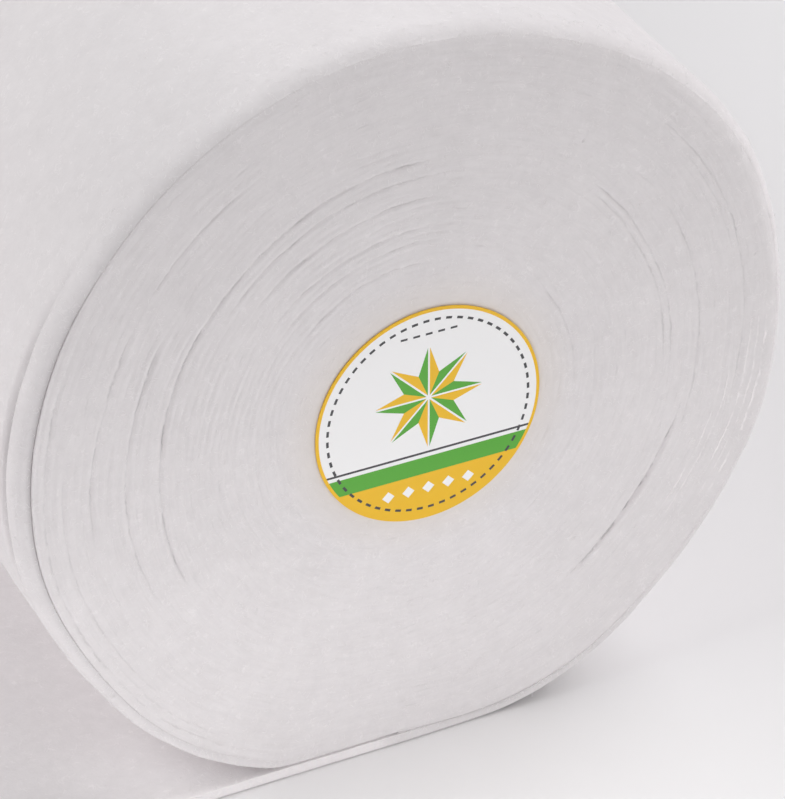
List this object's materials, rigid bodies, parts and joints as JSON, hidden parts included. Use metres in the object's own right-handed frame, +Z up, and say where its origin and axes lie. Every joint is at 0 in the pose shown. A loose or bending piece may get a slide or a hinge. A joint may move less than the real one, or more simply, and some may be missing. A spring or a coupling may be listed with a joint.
{
  "type": "roll of quilt batting",
  "caption": "Wide roll of soft white needled batting lying on its side, with its loose end on the floor and a round label on its end face.",
  "frame": {"origin": "on the floor under the roll's axis, halfway along the roll, on the flat spot on which it rests", "axes": "+Y along the roll's axis, away from the labelled end, which faces -Y; +Z up; the loose end runs out towards -X"},
  "size_m": [0.5725, 0.9, 0.317],
  "materials": {
    "batting": "soft fuzzy needled polyester, matt",
    "label_paper": "printed coated paper, satin"
  },
  "bodies": {
    "root": {"wound_roll": "batting", "loose_end": "batting", "end_label": "label_paper"}
  },
  "joints": []
}
